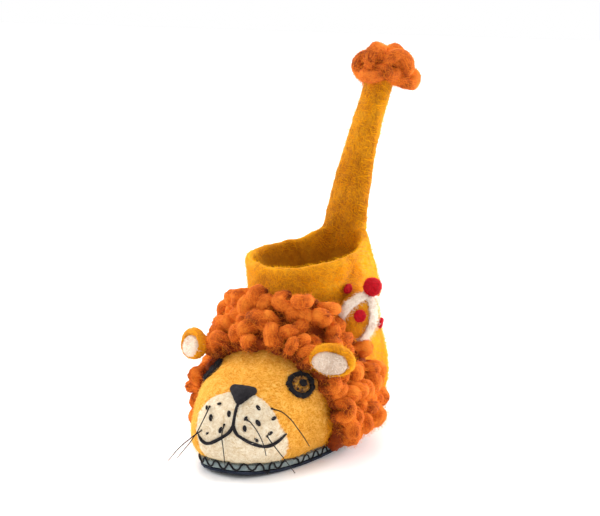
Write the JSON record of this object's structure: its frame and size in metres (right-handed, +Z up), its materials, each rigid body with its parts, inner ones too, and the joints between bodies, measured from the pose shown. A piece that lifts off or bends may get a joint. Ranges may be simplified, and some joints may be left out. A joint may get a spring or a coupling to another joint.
{
  "type": "felt slipper",
  "caption": "Child's ankle slipper of golden felt with a lion's face at the toe, a looped russet wool mane, two ears, a small domed crown and a tall tail with a wool tuft.",
  "frame": {"origin": "On the floor under the middle of the boot's length, on its centre line", "axes": "+Z up; the toe points along -Y; +X is the wearer's left, the outer side of this left shoe"},
  "size_m": [0.1334, 0.2283, 0.267],
  "materials": {
    "golden_felt": "thick hand-felted wool",
    "dark_suede": "napped dark navy suede",
    "grey_felt": "dense grey wool felt",
    "pale_felt": "soft oatmeal felt",
    "white_felt": "needle-felted off-white wool",
    "red_felt": "needle-felted red wool",
    "black_felt": "needle-felted black wool",
    "russet_wool": "fat felted wool loops and cords"
  },
  "bodies": {
    "root": {"upper": "golden_felt", "outsole": "dark_suede", "midsole": "grey_felt", "insole": "pale_felt", "mane": "russet_wool", "tail_tuft": "russet_wool", "ear_outer": "golden_felt", "ear_inner": "golden_felt", "ear_pad_outer": "pale_felt", "ear_pad_inner": "pale_felt", "nose": "black_felt", "eye_outer": "black_felt", "eye_inner": "black_felt", "crown_dome": "golden_felt", "crown_straps": "white_felt", "crown_ball": "red_felt", "crown_dot_top": "red_felt", "crown_dot_front": "red_felt", "crown_dot_back": "red_felt"}
  },
  "joints": []
}
